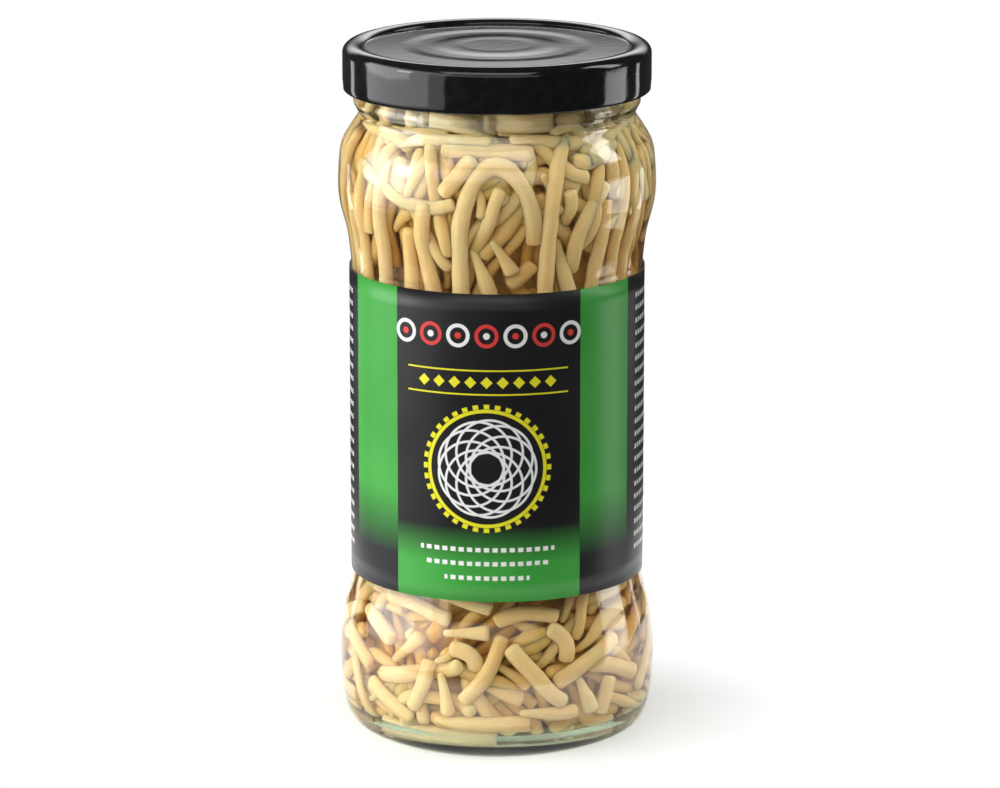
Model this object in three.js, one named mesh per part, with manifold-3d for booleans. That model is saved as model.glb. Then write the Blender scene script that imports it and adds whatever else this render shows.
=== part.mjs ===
// A jar of bean sprouts in brine: a waisted glass jar with a screw finish, a black metal twist-off lid
// with its sealing ring, a paper label round the waist, the brine, and the tangle of sprouts inside.
// Millimetres, +Z up. The origin is on the surface that the jar stands on, on its axis. The front faces -Y.
import * as THREE from "three";
import { mergeVertices } from "three/addons/utils/BufferGeometryUtils.js";
import Module from "manifold-3d";

const wasm = await Module();
wasm.setup();

// Driving dimensions
const SIDES = 36; // facets round the jar, lid, label and seal
const BRINE_SIDES = 24;
const CORE_SIDES = 20;
const FOOT_INNER = 27.3; // the flat ring that the jar stands on
const FOOT_OUTER = 29.5;
const WAIST = 32.75; // outer radius of the glass behind the label
const BULGE = 35.6; // outer radius of the upper and the lower bulge
const NECK = 31.0; // outer radius of the neck
const FINISH = 31.3; // outer radius of the wall under the lid
const BORE = 28.6; // inner radius of the neck
const LIP_Z = 155.6; // top of the glass, a flat ring
const LIP_INNER = 29.8;
const LIP_OUTER = 30.9;
const LABEL_LOW = 37.2;
const LABEL_HIGH = 107.1;
const LABEL_PAPER = 0.2;
const LABEL_GAP_DEGREES = 9; // bare glass between the label's ends, at the back
const CLEAR = 0.3; // gap between pieces that touch
const STARTS = 4; // thread ramps on the neck, and lugs in the lid
const TURN_DEGREES = 60; // the lid's turn from shut to free
const LIFT = 1.5; // its rise over that turn
const BRINE_WALL = 0.8; // thickness of the layer of brine outside the sprouts
const BRINE_Z = 146.2; // level of the brine
const SPROUTS_LOW = 5.1; // lowest and highest point of the tangle
const SPROUTS_HIGH = 145.2;
const STEM = 1.85; // radius of a sprout's stem
const HEEL = 1.6; // how much higher the lowest stems lie along the wall, over the jar's rounded heel
const STEM_SIDES = 5;
const STEP_LENGTH = 7; // length of one facet along a stem
const CORE_DEPTH = 2.4; // how far the packed core lies inside the outermost stems
const SEED = 7512;
const SLIVER = 0.01; // features smaller than this are smoothed out of the joined tangle

// Outlines as radius and height. Each is a smooth curve through these points.
const OUTER_LOW = [
  [FOOT_OUTER, 0],
  [33.0, 2.1],
  [34.9, 6.8],
  [BULGE + 0.2, 16.5],
  [35.3, 26.0],
  [33.6, 33.2],
  [WAIST, 38.5],
];
const OUTER_HIGH = [
  [WAIST, 108.0],
  [33.6, 115.0],
  [35.3, 122.0],
  [BULGE, 127.5],
  [34.9, 134.6],
  [32.6, 138.9],
  [NECK, 141.7],
  [32.1, 144.5],
  [FINISH, 146.5],
];
const INNER_HIGH = [
  [BORE, 143.6],
  [30.4, 138.8],
  [32.7, 133.8],
  [33.3, 127.4],
  [32.6, 120.6],
  [31.2, 114.0],
  [30.5, 107.0],
];
const INNER_LOW = [
  [30.5, 39.0],
  [31.4, 32.8],
  [33.0, 25.0],
  [33.4, 16.5],
  [32.5, 8.4],
  [28.4, 3.9],
];
const FLOOR_Z = 3.3; // inner floor of the jar
const PUNT_Z = 1.0; // height of the hollow under its base

const smooth = (points, steps) =>
  new THREE.SplineCurve(points.map(([r, z]) => new THREE.Vector2(r, z))).getPoints(steps);
const plain = (points) => points.map(([r, z]) => new THREE.Vector2(r, z));

// A closed ring or body of revolution about Z. The profile runs anticlockwise seen from -Y.
function turned(profile, sides = SIDES) {
  const closed = profile[0].x > 0.001 ? [...profile, profile[0].clone()] : profile;
  return new THREE.LatheGeometry(closed, sides).rotateX(Math.PI / 2);
}

// manifold-3d joins and cuts
function solid(geometry) {
  const bare = geometry.clone();
  bare.deleteAttribute("normal");
  bare.deleteAttribute("uv");
  const merged = mergeVertices(bare, 1e-4);
  const made = new wasm.Manifold(
    new wasm.Mesh({
      numProp: 3,
      vertProperties: merged.attributes.position.array,
      triVerts: new Uint32Array(merged.index.array),
    }),
  );
  return made;
}

function geometryOf(manifold) {
  const mesh = manifold.getMesh();
  const flat = new THREE.BufferGeometry();
  flat.setAttribute("position", new THREE.BufferAttribute(mesh.vertProperties, 3));
  flat.setIndex(new THREE.BufferAttribute(mesh.triVerts, 1));
  flat.computeVertexNormals();
  return flat;
}

const fused = (solids) => solids.reduce((whole, next) => whole.add(next));

// The one large body, without the slivers that the joins leave and with sealed hollows filled
function oneBody(manifold) {
  const bodies = manifold.asOriginal().simplify(SLIVER).decompose();
  return bodies.reduce((a, b) => (b.volume() > a.volume() ? b : a));
}

// A block bent round the Z axis: it spans from radius inner to outer, rising by slope over its arc.
function bentBlock({ inner, outer, low, high, start, arc, rise = 0, steps = 8 }) {
  const block = new THREE.BoxGeometry(1, 1, 1, steps, 1, 1).translate(0.5, 0.5, 0.5);
  const p = block.attributes.position;
  for (let i = 0; i < p.count; i++) {
    const along = p.getX(i);
    const angle = THREE.MathUtils.degToRad(start + arc * along);
    const radius = inner + (outer - inner) * (1 - p.getY(i));
    const height = low + (high - low) * p.getZ(i) + rise * along;
    p.setXYZ(i, radius * Math.cos(angle), radius * Math.sin(angle), height);
  }
  return block;
}

// Glass jar
const outerLow = smooth(OUTER_LOW, 7);
const outerHigh = smooth(OUTER_HIGH, 11);
const innerHigh = smooth(INNER_HIGH, 6);
const innerLow = smooth(INNER_LOW, 5);
const finish = plain([
  [FINISH, 154.6],
  [LIP_OUTER, LIP_Z],
  [LIP_INNER, LIP_Z],
  [BORE, 154.5],
]);
const underside = plain([
  [0, PUNT_Z],
  [22.5, PUNT_Z - 0.3],
  [FOOT_INNER, 0],
]);

const THREAD_LOW = 148.75; // underside of a ramp where a lug sits when the lid is shut
function glassJar() {
  const shell = turned([
    ...underside,
    ...outerLow,
    ...outerHigh,
    ...finish,
    ...innerHigh,
    ...innerLow,
    new THREE.Vector2(0, FLOOR_Z),
  ]);
  const ramps = [];
  for (let k = 0; k < STARTS; k++) {
    ramps.push(
      solid(
        bentBlock({
          inner: FINISH - 0.6,
          outer: 32.6,
          low: THREAD_LOW,
          high: THREAD_LOW + 1.2,
          start: (k * 360) / STARTS - 7,
          arc: TURN_DEGREES,
          rise: LIFT,
        }),
      ),
    );
  }
  return geometryOf(fused([solid(shell), ...ramps]));
}

// Metal lid: skirt with its rolled edge and lugs, rounded shoulder, and the stepped panel on top
const SKIRT = 34.5;
const LID_LOW = 147.0;
const LID_HIGH = 157.4;
const SHEET = 0.35;
const LUG_HIGH = THREAD_LOW - 0.35;
const PANEL_Z = 156.5;
const PANEL = [
  [29.5, PANEL_Z],
  [20.0, PANEL_Z],
  [18.8, PANEL_Z - 0.4],
  [14.6, PANEL_Z - 0.4],
  [13.6, PANEL_Z - 0.1],
];
function lid() {
  const outside = plain([
    [33.2, LID_LOW],
    [34.1, LID_LOW],
    [SKIRT, 147.6],
    [SKIRT, 154.6],
    [34.2, 156.1],
    [33.3, 157.0],
    [32.2, LID_HIGH],
    [30.6, LID_HIGH],
    ...PANEL,
    [0, PANEL_Z - 0.1],
  ]);
  const inside = plain([
    [0, PANEL_Z - 0.1 - SHEET],
    ...PANEL.slice().reverse().map(([r, z]) => [r, z - SHEET]),
    [30.7, LID_HIGH - SHEET - 0.1],
    [31.7, LID_HIGH - SHEET - 0.1],
    [33.3, 156.2],
    [SKIRT - SHEET, 154.4],
    [SKIRT - SHEET, 148.6],
    [33.2, 148.2],
  ]);
  const shell = solid(turned([...outside.slice().reverse(), ...inside.slice().reverse()].reverse()));
  const lugs = [];
  for (let k = 0; k < STARTS; k++) {
    lugs.push(
      solid(
        bentBlock({
          inner: 32.0,
          outer: 33.6,
          low: LID_LOW + 0.2,
          high: LUG_HIGH,
          start: (k * 360) / STARTS - 6,
          arc: 12,
          steps: 3,
        }),
      ),
    );
  }
  return geometryOf(fused([shell, ...lugs]));
}

// Ring of sealing compound in the lid's channel, over the lip of the glass
const sealRing = () =>
  turned(
    plain([
      [LIP_INNER + 0.1, LIP_Z + CLEAR],
      [LIP_OUTER + 1.4, LIP_Z + CLEAR],
      [32.1, 156.4],
      [31.6, 156.6],
      [30.7, 156.6],
      [30.3, 156.3],
    ]),
  );

// Paper label: a strip wrapped round the waist, with a slit of bare glass at the back
function label() {
  const half = THREE.MathUtils.degToRad(180 - LABEL_GAP_DEGREES / 2);
  const inner = WAIST + CLEAR;
  const front = -Math.PI / 2;
  const strip = new THREE.Shape();
  strip.absarc(0, 0, inner + LABEL_PAPER, front - half, front + half, false);
  strip.absarc(0, 0, inner, front + half, front - half, true);
  const depth = LABEL_HIGH - LABEL_LOW;
  const made = new THREE.ExtrudeGeometry(strip, { depth, bevelEnabled: false, curveSegments: SIDES / 2 });
  return made.translate(0, 0, LABEL_LOW);
}

// Inner wall of the jar as a radius at any height
const wall = [...innerLow.slice().reverse(), ...innerHigh.slice().reverse(), new THREE.Vector2(BORE, LIP_Z)];
function wallRadius(z) {
  const i = Math.max(1, wall.findIndex((p) => p.y >= z));
  const [a, b] = [wall[i - 1], wall[i]];
  return THREE.MathUtils.mapLinear(z, a.y, b.y, a.x, b.x);
}

// Brine: the clear layer between the glass and the tangle, which stands in one plain hole in it
const TANGLE_GAP = CLEAR + BRINE_WALL + 1.5 * CLEAR; // from the glass to the outermost stems
function brine() {
  const heights = [7.2, 9.4, 12.9, 18, 24, 32, 39, 107, 114, 121, 127.5, 134, 139, 143.6, BRINE_Z];
  const outside = heights.map((z) => new THREE.Vector2(wallRadius(z) - CLEAR - 0.15, z));
  const inside = heights.map((z) => new THREE.Vector2(wallRadius(z) - CLEAR - BRINE_WALL, z));
  const low = FLOOR_Z + CLEAR;
  return turned(
    [
      new THREE.Vector2(0, low),
      new THREE.Vector2(26.9, low + 0.8),
      ...outside,
      ...inside.slice().reverse(),
      new THREE.Vector2(26.2, low + 1.3),
      new THREE.Vector2(0, low + 0.9),
    ],
    BRINE_SIDES,
  );
}

// Sprouts. A stem is a route of points given as azimuth in degrees from the front (positive to the
// right), height, and depth behind the outermost layer.
const limit = (z) => THREE.MathUtils.clamp(z, SPROUTS_LOW + STEM + HEEL, SPROUTS_HIGH - STEM);

// How far from the axis the middle of a ball lies that just clears the wall at this height
function reach(z, ball) {
  const levels = [-1, -0.5, 0, 0.5, 1];
  return Math.min(...levels.map((t) => wallRadius(z + t * ball) - ball * Math.sqrt(1 - t * t)));
}

function onWall([azimuth, height, depth = 0]) {
  const z = limit(height);
  const angle = THREE.MathUtils.degToRad(azimuth);
  const r = reach(z, STEM) - TANGLE_GAP - depth;
  return new THREE.Vector3(r * Math.sin(angle), -r * Math.cos(angle), z);
}

// The route is smoothed along the wall before it is bent round the jar, so that it never leaves it
function wallRoute(points) {
  const along = new THREE.CatmullRomCurve3(points.map(([a, z, depth = 0]) => new THREE.Vector3(a, z, depth)));
  return along.getPoints(4 * (points.length - 1)).map((p) => onWall([p.x, p.y, Math.max(0, p.z)]));
}

function stem(points) {
  const curve = new THREE.CatmullRomCurve3(points);
  const section = new THREE.Shape();
  for (let k = 0; k < STEM_SIDES; k++) {
    const a = (2 * Math.PI * k) / STEM_SIDES;
    if (k === 0) section.moveTo(STEM, 0);
    else section.lineTo(STEM * Math.cos(a), STEM * Math.sin(a));
  }
  section.closePath();
  const steps = Math.max(3, Math.round(curve.getLength() / STEP_LENGTH));
  return solid(new THREE.ExtrudeGeometry(section, { steps, extrudePath: curve, bevelEnabled: false }));
}

// A seed's two halves at the head of a sprout
function bean([azimuth, height, depth = 0], tilt) {
  const head = new THREE.SphereGeometry(1, 7, 5).scale(2.3, 2.3, 4.3);
  head.rotateY(THREE.MathUtils.degToRad(tilt)).rotateZ(THREE.MathUtils.degToRad(azimuth));
  const at = onWall([azimuth, height, depth + 0.45]);
  return solid(head.translate(at.x, at.y, at.z));
}

// The stems that show at the front, as they lie above the label and below it
const FRONT_HIGH = [
  [[-14, 92], [-16, 112], [-13, 127], [-4, 135.3], [6, 134], [13, 127.5], [17, 118, 1]],
  [[33, 139.5], [24, 133], [21.5, 120], [21, 92]],
  [[47, 130], [39, 124.5], [33.5, 118], [33, 110, 1]],
  [[49, 126, 1], [47, 115], [43, 98]],
  [[-62, 133], [-68, 121], [-70, 98]],
  [[-48, 134], [-53, 122], [-57, 99]],
  [[-29, 127], [-32, 118], [-27, 101]],
  [[-38, 121, 0.5], [-41, 100]],
  [[-25, 137.5], [-6, 137, 1], [16, 136.5]],
  [[-23, 128.5, 0.5], [-9, 136]],
  [[-8, 115, 1.5], [3, 121, 1.5], [12, 128, 2]],
  [[-11, 117, 1.5], [-5, 110, 0.5], [0, 99]],
  [[-3, 119.5, 1], [8, 110.5, 1]],
  [[5, 108, 1.5], [17, 113, 1.5]],
  [[26, 119, 1.5], [31, 111, 0.5], [36, 96]],
  [[68, 129], [66, 118], [65, 100]],
  [[-80, 137], [-84, 120], [-83, 101]],
  [[60, 137], [57, 124], [57, 104]],
];
const FRONT_LOW = [
  [[-53, 34.5], [-38, 34], [-20, 31]],
  [[-34, 38], [-18, 36.5], [-2, 34]],
  [[-23, 28.5], [-3, 29]],
  [[-20, 25, 0.5], [-8, 24], [-9, 20, 1]],
  [[3, 28, 0.5], [-2.5, 21], [-14, 13.5]],
  [[4, 26], [15, 19.5], [28, 12]],
  [[0, 21.5, 1.5], [14, 17, 1.5]],
  [[-8, 17.5, 2], [11, 14, 2]],
  [[-1, 31, 1], [11, 33.5], [27, 31.5]],
  [[22, 29.5], [31, 26], [30, 21.5, 1]],
  [[24, 17, 1], [37, 20.5], [55, 25]],
  [[38, 21, 1], [52, 18.5], [69, 15]],
  [[34, 18], [42, 9.5]],
  [[51, 17, 0.5], [46, 8.5]],
  [[-22, 20], [-20, 10]],
  [[-66, 30], [-47, 24.5]],
  [[-80, 24], [-60, 17, 0.5]],
  [[-59, 15], [-36, 8.5]],
  [[-26, 9.5], [-6, 9], [14, 9]],
  [[9, 11], [35, 10.5]],
  [[-37, 10.5, 0.5], [-31, 17], [-28, 22, 1]],
  [[-47, 20, 1], [-33, 27, 0.5]],
];
const FRONT_BEANS = [
  [[-2, 130.5, 1.2], 60],
  [[9, 126, 1.5], -40],
  [[15, 26.5, 0.6], 70],
  [[-44, 15.5, 1.0], 30],
];

// The rest, by rule: rows of stems round the jar, with every draw taken from one seeded sequence
let state = SEED;
function draw(low, high) {
  state = (state * 1664525 + 1013904223) % 4294967296;
  return low + ((high - low) * state) / 4294967296;
}
// from and to: the azimuths that the row fills; heading 0 lies level and 90 stands upright
const ROWS = [
  { count: 14, from: 92, to: 266, z: [126, 130], heading: [68, 112], length: [26, 34], bend: 50 },
  { count: 12, from: 96, to: 262, z: [108, 114], heading: [60, 120], length: [30, 42], bend: 60 },
  { count: 9, from: 0, to: 360, z: [137.5, 139], heading: [-14, 14], length: [20, 30], bend: 20 },
  { count: 6, from: 0, to: 360, z: [84, 90], heading: [50, 130], length: [36, 46], bend: 40 },
  { count: 5, from: 20, to: 380, z: [62, 70], heading: [40, 140], length: [36, 50], bend: 40 },
  { count: 5, from: 60, to: 420, z: [44, 52], heading: [-30, 30], length: [34, 44], bend: 40 },
  { count: 8, from: 80, to: 280, z: [31, 36], heading: [-24, 24], length: [24, 34], bend: 50 },
  { count: 9, from: 76, to: 284, z: [19, 25], heading: [10, 60], length: [22, 32], bend: 60 },
  { count: 7, from: 84, to: 276, z: [11, 13], heading: [-30, 0], length: [20, 30], bend: 40 },
];
function ruledStem(row, index) {
  const middle = row.from + ((index + draw(0.3, 0.7)) / row.count) * (row.to - row.from);
  const z0 = draw(...row.z);
  const heading = draw(...row.heading);
  const length = draw(...row.length);
  const bend = draw(-row.bend, row.bend);
  const depth = draw(0, 1.2);
  const pieces = 4;
  const at = (sign) => {
    const run = [];
    let [azimuth, z] = [middle, z0];
    for (let k = 1; k <= pieces / 2; k++) {
      const share = (sign * (k - 0.5)) / pieces;
      const a = THREE.MathUtils.degToRad(heading + bend * share);
      const step = (sign * length) / pieces;
      azimuth += THREE.MathUtils.radToDeg((Math.cos(a) * step) / 30);
      z += Math.sin(a) * step;
      run.push([azimuth, z, depth + (k === pieces / 2 ? 0.8 : 0)]);
    }
    return run;
  };
  return [...at(-1).reverse(), [middle, z0, depth], ...at(1)];
}

// Stems that lie across the bottom and the top of the tangle
function levelStem(z, index, count, reach) {
  const across = THREE.MathUtils.degToRad((180 * index) / count + draw(-12, 12));
  const aside = draw(-0.62, 0.62) * reach;
  const half = Math.sqrt(reach * reach - aside * aside) * 0.92;
  const bow = draw(-4, 4);
  return [-1, 0, 1].map((t) => {
    const [along, off] = [t * half, aside + bow * (1 - t * t)];
    return new THREE.Vector3(
      along * Math.cos(across) - off * Math.sin(across),
      along * Math.sin(across) + off * Math.cos(across),
      z,
    );
  });
}

function sprouts() {
  const coreHeights = [SPROUTS_LOW + 1.6, 16, 26, 33, 39, 73, 107, 115, 121, 127.5, 134, SPROUTS_HIGH - 2.2];
  const core = turned(
    [
      new THREE.Vector2(0, coreHeights[0]),
      ...coreHeights.map((z) => new THREE.Vector2(wallRadius(z) - TANGLE_GAP - CORE_DEPTH - (z < 10 ? 3 : 0), z)),
      new THREE.Vector2(0, coreHeights.at(-1)),
    ],
    CORE_SIDES,
  );
  const stems = [...FRONT_HIGH, ...FRONT_LOW].map((route) => stem(wallRoute(route)));
  for (const row of ROWS) {
    for (let i = 0; i < row.count; i++) stems.push(stem(wallRoute(ruledStem(row, i))));
  }
  for (let i = 0; i < 6; i++) stems.push(stem(levelStem(SPROUTS_LOW + STEM, i, 6, 25)));
  for (let i = 0; i < 5; i++) stems.push(stem(levelStem(SPROUTS_HIGH - STEM - 0.3, i, 5, 24)));
  const beans = FRONT_BEANS.map(([at, tilt]) => bean(at, tilt));
  return geometryOf(oneBody(fused([solid(core), ...stems, ...beans])));
}

const material = (color, roughness, metalness = 0, opacity = 1) =>
  new THREE.MeshStandardMaterial({ color, roughness, metalness, opacity, transparent: opacity < 1 });

const jar = new THREE.Group();
function add(name, geometry, look) {
  const mesh = new THREE.Mesh(geometry, look);
  mesh.name = name;
  jar.add(mesh);
}
add("glass_jar", glassJar(), material(0xe6f0ea, 0.05, 0, 0.3));
add("lid", lid(), material(0x0b0b0d, 0.18, 0.6));
add("seal_ring", sealRing(), material(0xe9e4da, 0.6));
add("label", label(), material(0x3f9b45, 0.45));
add("brine", brine(), material(0xf0dfa8, 0.05, 0, 0.3));
add("sprouts", sprouts(), material(0xe2cfa6, 0.5));

export default jar;
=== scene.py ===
"""Looks for a jar of bean sprouts: waisted glass, brine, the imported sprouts, a printed label and a black
twist-off lid. Sizes are in millimetres and turned into metres where a mesh is made."""
import math
from functools import reduce

import bpy
import numpy as np
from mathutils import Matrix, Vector

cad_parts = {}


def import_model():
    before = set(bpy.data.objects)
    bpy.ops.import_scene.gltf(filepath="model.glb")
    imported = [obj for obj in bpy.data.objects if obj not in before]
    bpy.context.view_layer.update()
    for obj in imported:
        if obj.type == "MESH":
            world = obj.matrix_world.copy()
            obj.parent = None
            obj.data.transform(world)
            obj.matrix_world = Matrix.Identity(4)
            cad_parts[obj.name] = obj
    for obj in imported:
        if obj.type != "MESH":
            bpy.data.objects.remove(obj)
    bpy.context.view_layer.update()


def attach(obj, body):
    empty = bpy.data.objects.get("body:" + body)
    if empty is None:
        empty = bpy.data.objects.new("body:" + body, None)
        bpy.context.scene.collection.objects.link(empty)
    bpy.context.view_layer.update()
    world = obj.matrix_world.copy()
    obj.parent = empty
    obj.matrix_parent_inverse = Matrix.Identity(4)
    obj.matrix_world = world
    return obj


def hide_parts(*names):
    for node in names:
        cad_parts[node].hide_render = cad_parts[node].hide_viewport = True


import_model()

MM = 0.001

# Camera, as it stood for the photograph, and the picture's size in pixels
PICTURE_WIDTH = 1000
CAMERA_DISTANCE = 1150.0
CAMERA_PITCH = 13.7
CAMERA_TARGET_Z = 76.65
CAMERA_LENS = 182.8
AXIS_LEFT_OF_MIDDLE = 3  # pixels

# The jar's outlines as radius and height, the same as in the part's source
FOOT_INNER = 27.3
FOOT_OUTER = 29.5
WAIST = 32.75
BULGE = 35.6
NECK = 31.0
FINISH = 31.3
BORE = 28.6
LIP_Z = 155.6
LIP_INNER = 29.8
LIP_OUTER = 30.9
FLOOR_Z = 3.3
PUNT_Z = 1.0
OUTER_LOW = [
    (FOOT_OUTER, 0), (33.0, 2.1), (34.9, 6.8), (BULGE + 0.2, 16.5),
    (35.3, 26.0), (33.6, 33.2), (WAIST, 38.5),
]
OUTER_HIGH = [
    (WAIST, 108.0), (33.6, 115.0), (35.3, 122.0), (BULGE, 127.5), (34.9, 134.6), (32.6, 138.9),
    (NECK, 141.7), (32.1, 144.5), (FINISH, 146.5),
]
INNER_HIGH = [
    (BORE, 143.6), (30.4, 138.8), (32.7, 133.8), (33.3, 127.4), (32.6, 120.6), (31.2, 114.0), (30.5, 107.0),
]
INNER_LOW = [(30.5, 39.0), (31.4, 32.8), (33.0, 25.0), (33.4, 16.5), (32.5, 8.4), (28.4, 3.9)]

LABEL_LOW = 37.2
LABEL_HIGH = 107.1
LABEL_RADIUS = WAIST + 0.3
LABEL_PAPER = 0.2
LABEL_GAP_DEGREES = 9
CLEAR = 0.3
THREAD_LOW = 148.75
THREAD_HIGH = 1.2
THREAD_OUT = 32.6
TURN_DEGREES = 60
LIFT = 1.5
STARTS = 4
BRINE_Z = 146.2
BRINE_WALL = 0.8
SPROUTS_LOW = 5.1
SPROUTS_HIGH = 145.2
STEM = 1.85
HEEL = 1.6
TANGLE_GAP = CLEAR + BRINE_WALL + 1.5 * CLEAR
SEED = 7512


# Curves and meshes
def catmull(points, count):
    """A smooth curve through the points, at even steps of its parameter."""
    p = np.asarray(points, float)
    p = np.vstack([p[0], p, p[-1]])
    spans = len(p) - 3
    t = np.linspace(0, spans, count)
    i = np.minimum(t.astype(int), spans - 1)
    f = (t - i)[:, None]
    a, b, c, d = p[i], p[i + 1], p[i + 2], p[i + 3]
    return 0.5 * (2 * b + (c - a) * f + (2 * a - 5 * b + 4 * c - d) * f**2 + (3 * b - a - 3 * c + d) * f**3)


def even(points, spacing):
    """The same route with points at an even spacing."""
    legs = np.linalg.norm(np.diff(points, axis=0), axis=1)
    along = np.concatenate([[0], np.cumsum(legs)])
    count = max(4, int(round(along[-1] / spacing)) + 1)
    wanted = np.linspace(0, along[-1], count)
    return np.stack([np.interp(wanted, along, points[:, k]) for k in range(3)], axis=1)


def fillet(profile, radius=0.3, steps=4):
    """Rounds the corners of an open profile of (radius, height) points."""
    p = [np.array(q, float) for q in profile]
    out = [p[0]]
    for before, corner, after in zip(p, p[1:], p[2:]):
        back, ahead = before - corner, after - corner
        cut = min(radius, 0.45 * np.linalg.norm(back), 0.45 * np.linalg.norm(ahead))
        a = corner + back / max(np.linalg.norm(back), 1e-9) * cut
        b = corner + ahead / max(np.linalg.norm(ahead), 1e-9) * cut
        for t in np.linspace(0, 1, steps + 1):
            out.append((1 - t) ** 2 * a + 2 * t * (1 - t) * corner + t**2 * b)
    return np.array(out + [p[-1]])


def arc(middle, height, wide, tall, start, end, steps=12):
    """Part of an upright ellipse's outline, from one angle to another, in degrees."""
    turns = np.radians(np.linspace(start, end, steps + 1))
    return [(middle + wide * math.cos(t), height + tall * math.sin(t)) for t in turns]


def mesh_object(name, vertices, faces, smooth=True):
    mesh = bpy.data.meshes.new(name)
    mesh.from_pydata((np.asarray(vertices) * MM).tolist(), [], faces)
    mesh.validate()
    mesh.polygons.foreach_set("use_smooth", [smooth] * len(mesh.polygons))
    piece = bpy.data.objects.new(name, mesh)
    bpy.context.scene.collection.objects.link(piece)
    return piece


def turned(name, profile, sides, shape=None):
    """A closed body of revolution. The profile runs anticlockwise seen from the front, from axis to axis
    or back to its start. shape, if given, takes and returns radius, azimuth and height."""
    p = np.asarray(profile, float)
    ring = p[0, 0] > 1e-6
    azimuth = np.arange(sides) * 2 * math.pi / sides
    inner = p if ring else p[1:-1]
    r = np.repeat(inner[:, 0], sides)
    z = np.repeat(inner[:, 1], sides)
    a = np.tile(azimuth, len(inner))
    if shape:
        r, a, z = shape(r, a, z)
    vertices = np.stack([r * np.sin(a), -r * np.cos(a), z], axis=1)
    faces = []
    rows = len(inner)
    for i in range(rows if ring else rows - 1):
        here, there = i * sides, ((i + 1) % rows) * sides
        for k in range(sides):
            n = (k + 1) % sides
            faces.append((here + k, here + n, there + n, there + k))
    if not ring:
        first, last = len(vertices), len(vertices) + 1
        vertices = np.vstack([vertices, [0, 0, p[0, 1]], [0, 0, p[-1, 1]]])
        top = (rows - 1) * sides
        for k in range(sides):
            n = (k + 1) % sides
            faces.append((first, n, k))
            faces.append((last, top + k, top + n))
    return mesh_object(name, vertices, faces)


def smooth_step(x, low, high):
    """Rises smoothly from 0 at low to 1 at high."""
    t = np.clip((x - low) / (high - low), 0, 1)
    return t * t * (3 - 2 * t)


def waves(azimuth, z, table):
    """Waves round a wall. Each row of the table: size, count round the jar, twist with height, start."""
    return sum(size * np.sin(count * azimuth + twist * z + start) for size, count, twist, start in table)


def angle_from(azimuth, direction):
    """How far an azimuth is from a direction, either way round, in radians."""
    return np.abs((azimuth - direction + math.pi) % (2 * math.pi) - math.pi)


# Materials
class Nodes:
    """Short names for the shader nodes of one material."""

    def __init__(self, name):
        self.material = bpy.data.materials.new(name)
        self.material.use_nodes = True
        self.tree = self.material.node_tree
        self.tree.nodes.clear()
        self.output = self.node("ShaderNodeOutputMaterial")

    def node(self, kind, **settings):
        made = self.tree.nodes.new(kind)
        for key, value in settings.items():
            setattr(made, key, value)
        return made

    def put(self, value, socket):
        if isinstance(value, bpy.types.NodeSocket):
            self.tree.links.new(value, socket)
        elif isinstance(value, (tuple, list)) and len(value) == 3 and socket.type == "RGBA":
            socket.default_value = (*value, 1)
        else:
            socket.default_value = value

    def math(self, operation, a, b=0.0, c=0.0):
        made = self.node("ShaderNodeMath", operation=operation)
        for value, socket in zip((a, b, c), made.inputs):
            self.put(value, socket)
        return made.outputs[0]

    def mix(self, amount, a, b):
        made = self.node("ShaderNodeMix", data_type="RGBA")
        self.put(amount, made.inputs["Factor"])
        self.put(a, made.inputs[6])
        self.put(b, made.inputs[7])
        return made.outputs[2]

    def noise(self, scale, detail, place=None):
        """Noise over the object's own coordinates, or over those of the socket place."""
        made = self.node("ShaderNodeTexNoise")
        self.put(place or self.node("ShaderNodeTexCoord").outputs["Object"], made.inputs["Vector"])
        made.inputs["Scale"].default_value = scale
        made.inputs["Detail"].default_value = detail
        return made.outputs["Fac"]

    def ramp(self, value, low, high, to_low=0.0, to_high=1.0, kind="LINEAR"):
        made = self.node("ShaderNodeMapRange", interpolation_type=kind)
        self.put(value, made.inputs["Value"])
        for key, number in zip(("From Min", "From Max", "To Min", "To Max"), (low, high, to_low, to_high)):
            made.inputs[key].default_value = number
        return made.outputs[0]

    def bump(self, height, strength, distance):
        made = self.node("ShaderNodeBump")
        made.inputs["Strength"].default_value = strength
        made.inputs["Distance"].default_value = distance
        self.put(height, made.inputs["Height"])
        return made.outputs[0]

    def surface(self, **sockets):
        made = self.node("ShaderNodeBsdfPrincipled")
        for key, value in sockets.items():
            self.put(value, made.inputs[key.replace("_", " ")])
        return made.outputs[0]

    def finish(self, shader):
        self.put(shader, self.output.inputs["Surface"])
        return self.material


def clear_material(name, color, ior, shade):
    """A clear solid, which lets the lamps' light through to what is inside it."""
    n = Nodes(name)
    body = n.surface(Base_Color=color, Roughness=0.0, IOR=ior, Transmission_Weight=1.0)
    through = n.node("ShaderNodeBsdfTransparent")
    n.put(shade, through.inputs["Color"])
    rays = n.node("ShaderNodeLightPath")
    choose = n.node("ShaderNodeMixShader")
    n.put(rays.outputs["Is Shadow Ray"], choose.inputs[0])
    n.put(body, choose.inputs[1])
    n.put(through.outputs[0], choose.inputs[2])
    return n.finish(choose.outputs[0])


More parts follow.
